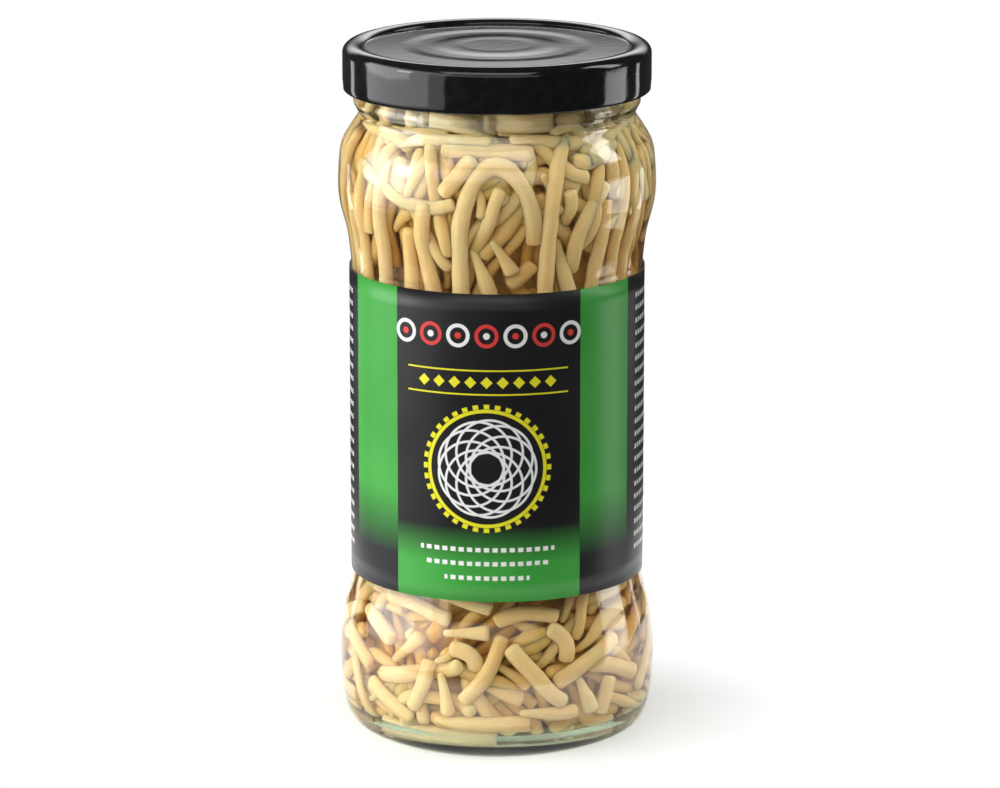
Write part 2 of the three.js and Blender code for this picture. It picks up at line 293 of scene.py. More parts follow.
def sprout_material():
    """Pale, slightly translucent stems: each has its own tone, with soft stripes. Painted shade makes them
    browner deeper behind the glass.
    """
    n = Nodes("sprout_flesh")
    tint = n.node("ShaderNodeAttribute", attribute_name="tint")
    parts = n.node("ShaderNodeSeparateColor")
    n.put(tint.outputs["Color"], parts.inputs[0])
    # depth carries painted shade: the darker, browner colour of stems deep behind the glass
    tone, depth, head = parts.outputs[0], parts.outputs[1], parts.outputs[2]
    mottle = n.ramp(n.noise(260, 3), 0.35, 0.7)
    skin = n.node("ShaderNodeAttribute", attribute_name="skin")
    drawn = n.node("ShaderNodeMapping")
    n.put(skin.outputs["Vector"], drawn.inputs["Vector"])
    drawn.inputs["Scale"].default_value = (3.2, 3.2, 0.16)
    fibre = n.ramp(n.noise(1.0, 3, drawn.outputs[0]), 0.35, 0.65)
    pale = n.mix(tone, (0.98, 0.79, 0.51), (0.95, 0.70, 0.37))
    pale = n.mix(n.math("MULTIPLY", mottle, 0.35), pale, (0.78, 0.56, 0.25))
    pale = n.mix(n.math("MULTIPLY", fibre, 0.30), pale, (0.80, 0.61, 0.31))
    seed = n.mix(mottle, (0.80, 0.60, 0.22), (0.66, 0.44, 0.13))
    color = n.mix(head, pale, seed)
    # painted shade: stems deeper behind the glass turn this brown
    color = n.mix(depth, color, (0.76, 0.44, 0.12))
    return n.finish(
        n.surface(
            Base_Color=color,
            Roughness=0.42,
            Specular_IOR_Level=0.12,
            Subsurface_Weight=0.75,
            Subsurface_Radius=(1.0, 0.62, 0.3),
            Subsurface_Scale=0.003,
            Normal=n.bump(fibre, 0.3, 0.0002),
        )
    )


def lid_material():
    """Black baked lacquer on tinplate, with the faint orange peel of a roller coat."""
    n = Nodes("black_lacquer")
    peel = n.noise(420, 2)
    rub = n.ramp(n.noise(90, 4), 0.45, 0.8, 0.07, 0.16)
    return n.finish(
        n.surface(
            Base_Color=n.mix(n.ramp(peel, 0.4, 0.6), (0.006, 0.006, 0.007), (0.010, 0.010, 0.011)),
            Roughness=rub,
            IOR=1.52,
            Normal=n.bump(peel, 0.08, 0.0002),
        )
    )


def lid_inside_material():
    n = Nodes("lid_inside_lacquer")
    spots = n.ramp(n.noise(300, 3), 0.4, 0.7)
    color = n.mix(spots, (0.78, 0.75, 0.66), (0.70, 0.66, 0.56))
    return n.finish(n.surface(Base_Color=color, Roughness=0.3))


def seal_material():
    n = Nodes("sealing_compound")
    grain = n.noise(700, 2)
    color = n.mix(grain, (0.82, 0.79, 0.72), (0.74, 0.70, 0.62))
    return n.finish(n.surface(Base_Color=color, Roughness=0.5, Normal=n.bump(grain, 0.2, 0.0001)))


# The label's print, drawn by the material from the label's own width and height in millimetres
PANEL_HALF = 21.8  # half of the black middle panel
GREEN_HALF = 37.7  # half of the green field round it
FRONT_AZIMUTH = -4.0
LABEL_TALL = LABEL_HIGH - LABEL_LOW
BLACK = (0.011, 0.011, 0.012)
GREEN = (0.050, 0.340, 0.050)
WHITE = (0.88, 0.88, 0.86)
YELLOW = (0.85, 0.80, 0.03)
RED = (0.72, 0.06, 0.05)


class Print(Nodes):
    """Masks of simple printed shapes, 1 inside and 0 outside. u runs right from the front, v runs up."""

    def __init__(self, name):
        super().__init__(name)
        uv = self.node("ShaderNodeUVMap", uv_map="print")
        parts = self.node("ShaderNodeSeparateXYZ")
        self.put(uv.outputs[0], parts.inputs[0])
        self.u = self.math("MULTIPLY", parts.outputs[0], 100.0)
        self.v = self.math("MULTIPLY", parts.outputs[1], 100.0)

    def edge(self, value, limit, soft=0.12):
        """1 where value is below limit."""
        return self.ramp(value, limit + soft / 2, limit - soft / 2)

    def both(self, *masks):
        return reduce(lambda a, b: self.math("MULTIPLY", a, b), masks)

    def either(self, *masks):
        return reduce(lambda a, b: self.math("MAXIMUM", a, b), masks)

    def outside(self, mask):
        return self.math("SUBTRACT", 1.0, mask)

    def off(self, value, middle):
        return self.math("SUBTRACT", value, middle)

    def size(self, value):
        return self.math("ABSOLUTE", value)

    def band(self, value, low, high, soft=0.12):
        return self.edge(self.size(self.off(value, (low + high) / 2)), (high - low) / 2, soft)

    def row(self, pitch, middle=0.0):
        """u folded so that a shape repeats at this pitch, with one repeat at the middle."""
        whole = self.math("ADD", self.off(self.u, middle), 50.5 * pitch)
        return self.math("SUBTRACT", self.math("FLOORED_MODULO", whole, pitch), pitch / 2)

    def length(self, x, y):
        return self.math("SQRT", self.math("ADD", self.math("MULTIPLY", x, x), self.math("MULTIPLY", y, y)))

    def ring(self, x, y, radius, width):
        return self.edge(self.size(self.off(self.length(x, y), radius)), width / 2)

    def diamond(self, x, y, half):
        return self.edge(self.math("ADD", self.size(x), self.size(y)), half)

    def dashes(self, low, tall, pitch, share, middle, half):
        """A row of short dashes, as small print looks from a step away."""
        cell = self.edge(self.size(self.row(pitch, middle)), pitch * share / 2)
        inside = self.edge(self.size(self.off(self.u, middle)), half)
        return self.both(cell, inside, self.band(self.v, low, low + tall))


TITLE_V = 60.5
TITLE_PITCH = 6.4
YELLOW_V = 50.0
ROSETTE_V = 30.5
ROSETTE_REACH = 7.4
PETALS = 9
ROUND_RING = 13.1  # radius of the yellow ring round the rosette
TEETH = 36
SMALL_ROWS = [(11.4, 15.4), (8.2, 14.2), (4.9, 9.6)]  # height, half width
SIDE_PRINT = (41.9, 66.5)  # where the print at each side of the green field starts and ends


def label_material():
    p = Print("label_print")
    across = p.size(p.u)
    panel = p.edge(across, PANEL_HALF)
    field = p.edge(across, GREEN_HALF)
    sides_fade = p.ramp(p.v, 9.0, 23.0)
    panel_fade = p.ramp(p.v, 17.0, 8.5)
    green = p.either(p.both(field, p.outside(panel), sides_fade), p.both(panel, panel_fade))
    haze = p.noise(60, 2)
    ink = p.mix(p.ramp(haze, 0.3, 0.7), BLACK, (0.016, 0.016, 0.018))
    color = p.mix(green, ink, p.mix(p.ramp(haze, 0.3, 0.7), GREEN, (0.058, 0.370, 0.058)))

    # A row of rings with a spot in each, white and red in turn
    y = p.off(p.v, TITLE_V)
    inside = p.edge(across, 3.5 * TITLE_PITCH)
    small, wide = p.row(TITLE_PITCH), p.row(2 * TITLE_PITCH)
    odd = p.edge(p.size(wide), TITLE_PITCH / 2)
    rings = p.both(inside, p.ring(small, y, 2.25, 0.85))
    spots = p.both(inside, p.edge(p.length(small, y), 0.75))
    for shape, first, second in ((rings, RED, WHITE), (spots, WHITE, RED)):
        color = p.mix(p.both(shape, odd), color, first)
        color = p.mix(p.both(shape, p.outside(odd)), color, second)

    # A row of small yellow diamonds between two hairlines
    y = p.off(p.v, YELLOW_V)
    gems = p.both(p.edge(across, 16.2), p.diamond(p.row(3.6), y, 1.35))
    lines = p.both(p.edge(across, 18.6), p.edge(p.size(p.off(p.size(y), 2.7)), 0.18))
    color = p.mix(p.either(gems, lines), color, YELLOW)

    # A rosette of overlapping white circles, inside a yellow ring with a toothed edge
    rosette = []
    y = p.off(p.v, ROSETTE_V)
    for k in range(PETALS):
        turn = 2 * math.pi * k / PETALS
        x_k = p.off(p.u, ROSETTE_REACH / 2 * math.cos(turn))
        y_k = p.off(y, ROSETTE_REACH / 2 * math.sin(turn))
        rosette.append(p.ring(x_k, y_k, ROSETTE_REACH, 0.55))
    color = p.mix(p.either(*rosette), color, WHITE)
    around = p.length(p.u, y)
    angle = p.math("ARCTAN2", y, p.u)
    teeth = p.math("COSINE", p.math("MULTIPLY", angle, TEETH))
    tooth = p.both(p.band(around, 13.6, 14.6), p.edge(p.math("MULTIPLY", teeth, -1.0), 0.0, 0.3))
    color = p.mix(p.either(p.ring(p.u, y, ROUND_RING, 0.8), tooth), color, YELLOW)

    # Small print stand-ins: short dashes at the foot and down both sides
    for low, half in SMALL_ROWS:
        color = p.mix(p.dashes(low, 1.0, 1.9, 0.62, 0.0, half), color, WHITE)
    step = p.band(p.math("FLOORED_MODULO", p.v, 2.9), 0.8, 1.9)
    cell = p.edge(p.size(p.row(1.7)), 0.55)
    height = p.band(p.v, 5.0, 66.0)
    sides = p.both(step, cell, height, p.band(across, *SIDE_PRINT))
    color = p.mix(sides, color, (0.72, 0.72, 0.70))

    fibre = p.noise(1500, 2)
    return p.finish(
        p.surface(
            Base_Color=color,
            Roughness=p.ramp(haze, 0.3, 0.7, 0.30, 0.36),
            Specular_IOR_Level=0.3,
            Normal=p.bump(fibre, 0.05, 0.0001),
        )
    )


# Glass jar: walls with the slight waves of pressed glass, mould seams and thread ramps
JAR_SIDES = 160
SEAM_AZIMUTH = math.radians(68)
SEAM_HIGH = 0.06
SEAM_HALF = 0.012  # radians
GLASS_WAVES = [(0.07, 3, 0.09, 0), (0.05, 5, -0.21, 1.3)]
THREAD_START = 83  # azimuth of the first ramp's lower end
RAMP_END = 5  # degrees over which each ramp fades in and out
BASE_Z = 3.0  # below this the glass is thick, and looks green
THIN_GLASS_COLOR = (0.975, 0.985, 0.972)
THICK_GLASS_COLOR = (0.52, 0.76, 0.57)

inner_high = catmull(INNER_HIGH, 60)
inner_low = catmull(INNER_LOW, 50)
inner_wall = np.vstack([inner_low[::-1], inner_high[::-1], [[BORE, 154.5], [LIP_INNER, LIP_Z]]])


def wall_radius(z):
    """Radius of the glass's inner wall at a height."""
    return np.interp(z, inner_wall[:, 1], inner_wall[:, 0])


def ramp_ridge(azimuth, z):
    """How far the thread stands out of the finish."""
    stands = np.zeros_like(z)
    for k in range(STARTS):
        along = (np.degrees(azimuth) - THREAD_START - k * 360 / STARTS) % 360
        inside = smooth_step(along, 0, RAMP_END)
        inside = inside * (1 - smooth_step(along, TURN_DEGREES - RAMP_END, TURN_DEGREES))
        middle = THREAD_LOW + THREAD_HIGH / 2 + LIFT * along / TURN_DEGREES
        across = 1 - smooth_step(np.abs(z - middle), THREAD_HIGH * 0.12, THREAD_HIGH * 0.62)
        stands = np.maximum(stands, inside * across)
    return stands * (THREAD_OUT - FINISH)


def glass_shape(r, azimuth, z):
    """Waves on the inner wall, and the mould seams and thread ramps on the outer one."""
    inside = r < wall_radius(z) + 0.6
    body = (z > 9) & (z < 142)
    r = r + np.where(inside & body, waves(azimuth, z, GLASS_WAVES), 0)
    outer = ~inside & (z > 1.5) & (z < 145)
    for seam in (SEAM_AZIMUTH, SEAM_AZIMUTH + math.pi):
        away = angle_from(azimuth, seam) / SEAM_HALF
        r = r + np.where(outer, SEAM_HIGH * np.exp(-(away**2)), 0)
    finish = ~inside & (z > 147) & (z < 154)
    r = r + np.where(finish, ramp_ridge(azimuth, z), 0)
    return r, azimuth, z


def glass_profile():
    hollow = [(0, PUNT_Z), (20, PUNT_Z), (24, PUNT_Z - 0.5), (FOOT_INNER, 0), (FOOT_OUTER, 0)]
    base = fillet(hollow, 1.2, 5)[:-1]
    waist_outer = [(WAIST, z) for z in np.linspace(40, 106, 12)]
    thread = [(FINISH, z) for z in np.arange(147, 154, 0.3)]
    lip_outside = [(FINISH, 154.2), (FINISH, 154.9), (LIP_OUTER, LIP_Z)]
    lip = fillet(lip_outside + [(LIP_INNER, LIP_Z), (BORE, 154.5), (BORE, 153)], 0.4)
    bore = [(BORE, z) for z in (150.0, 147.0, 145.2)]
    waist_inner = [(30.5, z) for z in np.linspace(105, 41, 12)]
    floor = [(25.0, FLOOR_Z + 0.1), (18.0, FLOOR_Z), (9.0, FLOOR_Z), (0, FLOOR_Z)]
    runs = [base, catmull(OUTER_LOW, 46), waist_outer, catmull(OUTER_HIGH, 70), thread, lip, bore]
    return np.vstack(runs + [inner_high, waist_inner, inner_low, floor])


def glass_jar():
    jar = turned("jar_glass", glass_profile(), JAR_SIDES, glass_shape)
    jar.data.materials.append(clear_material("clear_glass", THIN_GLASS_COLOR, 1.5, (0.965, 0.97, 0.96)))
    jar.data.materials.append(clear_material("thick_glass", THICK_GLASS_COLOR, 1.5, (0.85, 0.94, 0.88)))
    for face in jar.data.polygons:
        if face.center.z < BASE_Z * MM:
            face.material_index = 1
    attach(jar, "jar")
    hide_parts("glass_jar")


# Brine: it fills the jar up to its level, with a small rise where it meets the glass
BRINE_COLOR = (0.995, 0.935, 0.79)
BRINE_INTO_GLASS = 0.3
MENISCUS = 0.5
MENISCUS_WIDE = 0.9


def brine():
    stretches = [np.linspace(6, 39, 45), np.linspace(41, 105, 12), np.linspace(107, BRINE_Z, 60)]
    side = [(wall_radius(z) + BRINE_INTO_GLASS, z) for z in np.concatenate(stretches)]
    rise = []
    for away in (0, 0.4, 0.9, 1.6, 2.6, 4.5):
        rise.append((wall_radius(BRINE_Z) - away, BRINE_Z + MENISCUS * math.exp(-away / MENISCUS_WIDE)))
    low = FLOOR_Z - BRINE_INTO_GLASS
    base = [(0, low), (12, low), (22, low + 0.05), (27.6, low + 0.5), (30.3, low + 1.7)]
    profile = base + side + rise + [(14, BRINE_Z), (0, BRINE_Z)]
    liquid = turned("brine_liquid", profile, 128)
    liquid.data.materials.append(clear_material("brine", BRINE_COLOR, 1.333, (0.995, 0.955, 0.88)))
    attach(liquid, "jar")
    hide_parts("brine")


# Lid: rolled edge with four lugs pressed into it, skirt, rounded rim and rippled panel
LID_SIDES = 192
SKIRT = 34.5
LID_LOW = 147.0
LID_HIGH = 157.4
SHEET = 0.35
PANEL_Z = 156.5
PANEL_RADIUS = 29.4
RIM_RADIUS = 32.0  # where the rounded rim is highest
RIM_LOW = 155.3  # where the rim's curve leaves the skirt
ROLL = 0.6  # radius of the rolled edge
# start and end radius of each step in the panel, going inwards, and how far it rises
PANEL_STEPS = [(21.8, 17.2, -0.15), (15.4, 11.0, 0.11), (10.0, 7.2, -0.05)]
DOME = 0.30
LUG_HALF = math.radians(6)
LUG_DEEP = 1.5  # how far the roll's inner side is pressed in
LUG_DEEP_OUTSIDE = 0.25
LUG_HIGH = (148.0, 149.1)  # where the press fades out upwards


def lid_shape(r, azimuth, z):
    """Squeezes the rolled edge inwards at the lugs."""
    pressed = np.zeros_like(z)
    for k in range(STARTS):
        away = angle_from(azimuth, math.pi / 2 + k * 2 * math.pi / STARTS)
        pressed = np.maximum(pressed, 1 - smooth_step(away, LUG_HALF * 0.55, LUG_HALF * 1.25))
    low = 1 - smooth_step(z, *LUG_HIGH)
    inner_edge = smooth_step(SKIRT - 0.1 - r, 0.0, 0.8)
    deep_in = LUG_DEEP_OUTSIDE + (LUG_DEEP - LUG_DEEP_OUTSIDE) * inner_edge
    return r - pressed * low * deep_in, azimuth, z


def lid():
    radii = np.linspace(PANEL_RADIUS, 0, 99)
    heights = PANEL_Z + DOME * (1 - (radii / PANEL_RADIUS) ** 2)
    for start, end, rise in PANEL_STEPS:
        heights += rise * smooth_step(-radii, -start, -end)
    panel = np.stack([radii, heights], axis=1)
    shoulder = arc(RIM_RADIUS, RIM_LOW, SKIRT - RIM_RADIUS, LID_HIGH - RIM_LOW, 0, 90)
    rim_inside = arc(RIM_RADIUS, PANEL_Z, RIM_RADIUS - PANEL_RADIUS - 0.3, LID_HIGH - PANEL_Z, 90, 180)
    outside = np.vstack([shoulder, rim_inside[1:], panel])
    under = panel[::-1] - (0, SHEET)
    top = LID_HIGH - SHEET - 0.1
    inner_skirt = [(SKIRT - SHEET, 155.0), (SKIRT - SHEET, 148.4)]
    rim = fillet([under[-1], (30.6, top), (32.6, top), *inner_skirt], 0.6, 4)
    inside = np.vstack([under[:-1], rim])
    roll = arc(SKIRT - ROLL - 0.05, LID_LOW + ROLL, ROLL, ROLL, 85, 355, 19)
    skirt = [(SKIRT, z) for z in np.linspace(147.9, 153.0, 8)]
    cover = turned("lid_metal", np.vstack([inside, roll, skirt, outside]), LID_SIDES, lid_shape)
    cover.data.materials.append(lid_material())
    cover.data.materials.append(lid_inside_material())
    inner_faces = (len(inside) - 2) * LID_SIDES
    for face in cover.data.polygons:
        if face.index < inner_faces or len(face.vertices) == 3 and face.normal.z < 0:
            face.material_index = 1
    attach(cover, "lid")
    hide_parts("lid")


def seal():
    section = arc(31.1, 156.24, 1.15, 0.36, 0, 360, 16)[:-1]
    ring = turned("seal_compound", section, 120)
    ring.data.materials.append(seal_material())
    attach(ring, "lid_seal")
    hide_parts("seal_ring")


LABEL_WAVES = [(0.02, 7, 0.5, 0), (0.015, 19, -0.3, 0)]


def label():
    """A strip of coated paper round the waist. Its print coordinates are its own width and height."""
    half = math.pi - math.radians(LABEL_GAP_DEGREES / 2)
    columns, rows = 260, 16
    vertices, faces, uvs = [], [], []
    for layer in (0, 1):
        for i in range(rows + 1):
            for k in range(columns + 1):
                a = -half + 2 * half * k / columns
                z = LABEL_LOW + LABEL_TALL * i / rows
                r = LABEL_RADIUS + layer * LABEL_PAPER + waves(a, z, LABEL_WAVES)
                vertices.append((r * math.sin(a), -r * math.cos(a), z))
                width = (a - math.radians(FRONT_AZIMUTH)) * (LABEL_RADIUS + LABEL_PAPER)
                uvs.append((width / 100, (z - LABEL_LOW) / 100))
    wide = columns + 1
    back = wide * (rows + 1)
    for i in range(rows):
        for k in range(columns):
            a = i * wide + k
            faces.append((a, a + wide, a + wide + 1, a + 1))
            faces.append((back + a, back + a + 1, back + a + wide + 1, back + a + wide))
    for k in range(columns):
        low, top = k, rows * wide + k
        faces.append((low, low + 1, back + low + 1, back + low))
        faces.append((top, back + top, back + top + 1, top + 1))
    for i in range(rows):
        left, right = i * wide, i * wide + columns
        faces.append((left, back + left, back + left + wide, left + wide))
        faces.append((right, right + wide, back + right + wide, back + right))
    paper = mesh_object("label_paper", vertices, faces)
    layer = paper.data.uv_layers.new(name="print")
    picks = np.zeros(len(paper.data.loops), int)
    paper.data.loops.foreach_get("vertex_index", picks)
    layer.data.foreach_set("uv", np.array(uvs)[picks].ravel())
    paper.data.materials.append(label_material())
    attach(paper, "jar")
    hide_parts("label")


# Sprouts: the same routes and the same seeded sequence as in the part's source, as azimuth in degrees
# from the front, height, and depth behind the outermost layer
FRONT_HIGH = [
    [(-14, 92), (-16, 112), (-13, 127), (-4, 135.3), (6, 134), (13, 127.5), (17, 118, 1)],
    [(33, 139.5), (24, 133), (21.5, 120), (21, 92)],
    [(47, 130), (39, 124.5), (33.5, 118), (33, 110, 1)],
    [(49, 126, 1), (47, 115), (43, 98)],
    [(-62, 133), (-68, 121), (-70, 98)],
    [(-48, 134), (-53, 122), (-57, 99)],
    [(-29, 127), (-32, 118), (-27, 101)],
    [(-38, 121, 0.5), (-41, 100)],
    [(-25, 137.5), (-6, 137, 1), (16, 136.5)],
    [(-23, 128.5, 0.5), (-9, 136)],
    [(-8, 115, 1.5), (3, 121, 1.5), (12, 128, 2)],
    [(-11, 117, 1.5), (-5, 110, 0.5), (0, 99)],
    [(-3, 119.5, 1), (8, 110.5, 1)],
    [(5, 108, 1.5), (17, 113, 1.5)],
    [(26, 119, 1.5), (31, 111, 0.5), (36, 96)],
    [(68, 129), (66, 118), (65, 100)],
    [(-80, 137), (-84, 120), (-83, 101)],
    [(60, 137), (57, 124), (57, 104)],
]
FRONT_LOW = [
    [(-53, 34.5), (-38, 34), (-20, 31)],
    [(-34, 38), (-18, 36.5), (-2, 34)],
    [(-23, 28.5), (-3, 29)],
    [(-20, 25, 0.5), (-8, 24), (-9, 20, 1)],
    [(3, 28, 0.5), (-2.5, 21), (-14, 13.5)],
    [(4, 26), (15, 19.5), (28, 12)],
    [(0, 21.5, 1.5), (14, 17, 1.5)],
    [(-8, 17.5, 2), (11, 14, 2)],
    [(-1, 31, 1), (11, 33.5), (27, 31.5)],
    [(22, 29.5), (31, 26), (30, 21.5, 1)],
    [(24, 17, 1), (37, 20.5), (55, 25)],
    [(38, 21, 1), (52, 18.5), (69, 15)],
    [(34, 18), (42, 9.5)],
    [(51, 17, 0.5), (46, 8.5)],
    [(-22, 20), (-20, 10)],
    [(-66, 30), (-47, 24.5)],
    [(-80, 24), (-60, 17, 0.5)],
    [(-59, 15), (-36, 8.5)],
    [(-26, 9.5), (-6, 9), (14, 9)],
    [(9, 11), (35, 10.5)],
    [(-37, 10.5, 0.5), (-31, 17), (-28, 22, 1)],
    [(-47, 20, 1), (-33, 27, 0.5)],
]
FRONT_BEANS = [
    ((-2, 130.5, 1.2), 60),
    ((9, 126, 1.5), -40),
    ((15, 26.5, 0.6), 70),
    ((-44, 15.5, 1.0), 30),
]
# Stems that lie level across the bottom and the top of the tangle: count, height, half width
LEVELS = [(6, SPROUTS_LOW + STEM, 25), (5, SPROUTS_HIGH - STEM - 0.3, 24)]
# count, from and to azimuth, height range, heading range, length range, bend
ROWS = [
    (14, 92, 266, (126, 130), (68, 112), (26, 34), 50),
    (12, 96, 262, (108, 114), (60, 120), (30, 42), 60),
    (9, 0, 360, (137.5, 139), (-14, 14), (20, 30), 20),
    (6, 0, 360, (84, 90), (50, 130), (36, 46), 40),
    (5, 20, 380, (62, 70), (40, 140), (36, 50), 40),
    (5, 60, 420, (44, 52), (-30, 30), (34, 44), 40),
    (8, 80, 280, (31, 36), (-24, 24), (24, 34), 50),
    (9, 76, 284, (19, 25), (10, 60), (22, 32), 60),
    (7, 84, 276, (11, 13), (-30, 0), (20, 30), 40),
]


class Draws:
    """A seeded sequence of even draws, the same one that the part's source uses."""

    def __init__(self, seed):
        self.state = seed

    def __call__(self, low, high):
        self.state = (self.state * 1664525 + 1013904223) % 4294967296
        return low + (high - low) * self.state / 4294967296


def reach(z, ball):
    """How far from the axis the middle of a ball lies that just clears the wall at this height."""
    return min(wall_radius(z + t * ball) - ball * math.sqrt(1 - t * t) for t in (-1, -0.5, 0, 0.5, 1))


def on_wall(azimuth, height, depth=0.0, low=SPROUTS_LOW + STEM + HEEL):
    z = min(max(height, low), SPROUTS_HIGH - STEM)
    r = reach(z, STEM) - TANGLE_GAP - depth
    a = math.radians(azimuth)
    return (r * math.sin(a), -r * math.cos(a), z)


def wall_route(points):
    """A route smoothed along the wall before it is bent round the jar, so that it never leaves it."""
    full = [(*p, 0)[:3] for p in points]
    along = catmull(full, 12 * (len(full) - 1) + 1)
    return np.array([on_wall(a, z, max(0, d)) for a, z, d in along])


def ruled_stem(draw, row, index):
    count, start, end, heights, headings, lengths, bends = row
    middle = start + (index + draw(0.3, 0.7)) / count * (end - start)
    z0 = draw(*heights)
    heading = draw(*headings)
    length = draw(*lengths)
    bend = draw(-bends, bends)
    depth = draw(0, 1.2)

    def side(sign):
        run = []
        azimuth, z = middle, z0
        for k in (1, 2):
            a = math.radians(heading + bend * sign * (k - 0.5) / 4)
            step = sign * length / 4
            azimuth += math.degrees(math.cos(a) * step / 30)
            z += math.sin(a) * step
            run.append((azimuth, z, depth + (0.8 if k == 2 else 0)))
        return run

    return side(-1)[::-1] + [(middle, z0, depth)] + side(1)


def level_stem(draw, z, index, count, half_width):
    across = math.radians(180 * index / count + draw(-12, 12))
    aside = draw(-0.62, 0.62) * half_width
    half = math.sqrt(half_width**2 - aside**2) * 0.92
    bow = draw(-4, 4)
    run = []
    for t in (-1, 0, 1):
        along, off = t * half, aside + bow * (1 - t * t)
        x = along * math.cos(across) - off * math.sin(across)
        y = along * math.sin(across) + off * math.cos(across)
        run.append((x, y, z))
    return np.array(run)


# Stems that only scene.py has: they fill the gaps behind the main ones
FILLERS = [
    # count, height range, heading range, length range, depth range
    (150, (98, 134), (55, 125), (22, 42), (2.6, 7.0)),
    (60, (131, 144), (-40, 40), (16, 30), (1.5, 8.0)),
    (24, (45, 98), (40, 140), (36, 50), (3.0, 8.0)),
    (150, (10, 40), (-75, 75), (14, 28), (2.4, 7.0)),
    (40, (6, 9), (-20, 20), (16, 30), (1.5, 12.0)),
]
TOP_LAYER = 18  # more stems that lie across the top
TOP_SPREAD = (-2.5, 1.6)  # how far below and above the others they start
LEVEL_POINTS = 25
RING_STEP = 1.5  # length of one facet along a stem
NODE_SPACING = 2.3  # between the points of a route while it is moved
CORE_DEPTH = 8.5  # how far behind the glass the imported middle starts
LOWEST = FLOOR_Z + 0.25
MAIN_STEM = STEM * 0.95
THINNER = (0.62, 0.95)  # radius of the other stems, as shares of a full one

# How firmly each kind of stem keeps its place
HELD_FRONT = 0.16
HELD_RULED = 0.05
HELD_LEVEL = 0.1
HELD_TOP = 0.009
HELD_FILLER = 0.004
FIRM = 0.01  # stems held more firmly than this are pressed harder against the glass

# How the stems are pushed apart
ROUNDS = 160
SEARCH = 4.6  # stems nearer than this are looked at
SQUEEZE = 0.12  # how far two stems may press into each other
PUSH = 1.4
STRAIGHTEN = 0.55
BEND_KEPT = 0.35
FIRM_PRESS = 0.06  # how far a stem moves towards the glass in each round
LOOSE_PRESS = 0.008
SINK = 0.03  # how far the lowest stems sink in each round
SINK_BELOW = 15
GLASS_GAP = 0.25
SURFACE_GAP = 0.35
ACROSS = 14  # a stem that comes nearer to the axis than this lies across the jar


def filler_route(draw, heights, headings, lengths, depths):
    azimuth, z = draw(0, 360), draw(*heights)
    heading, length = draw(*headings), draw(*lengths)
    bend, depth = draw(-70, 70), draw(*depths)
    run = []
    steps = 8
    for k in range(steps + 1):
        share = k / steps - 0.5
        a = math.radians(heading + bend * share)
        run.append((azimuth, z, depth + draw(-0.6, 0.6)))
        azimuth += math.degrees(math.cos(a) * length / steps / 27)
        z += math.sin(a) * length / steps
    return run


def close_pairs(points, distance):
    """All pairs of points nearer than distance, found through a grid of cells."""
    cell = np.floor(points / distance).astype(np.int64)
    cell -= cell.min(axis=0) - 1
    size = cell.max(axis=0) + 2
    key = (cell[:, 0] * size[1] + cell[:, 1]) * size[2] + cell[:, 2]
    order = np.argsort(key, kind="stable")
    ranked = key[order]
    firsts, seconds = [], []
    for x, y, z in np.ndindex(3, 3, 3):
        wanted = key + ((x - 1) * size[1] + y - 1) * size[2] + z - 1
        start = np.searchsorted(ranked, wanted, "left")
        count = np.searchsorted(ranked, wanted, "right") - start
        first = np.repeat(np.arange(len(points)), count)
        place = np.arange(count.sum()) - np.repeat(np.cumsum(count) - count, count)
        second = order[np.repeat(start, count) + place]
        keep = first < second
        firsts.append(first[keep])
        seconds.append(second[keep])
    return np.concatenate(firsts), np.concatenate(seconds)


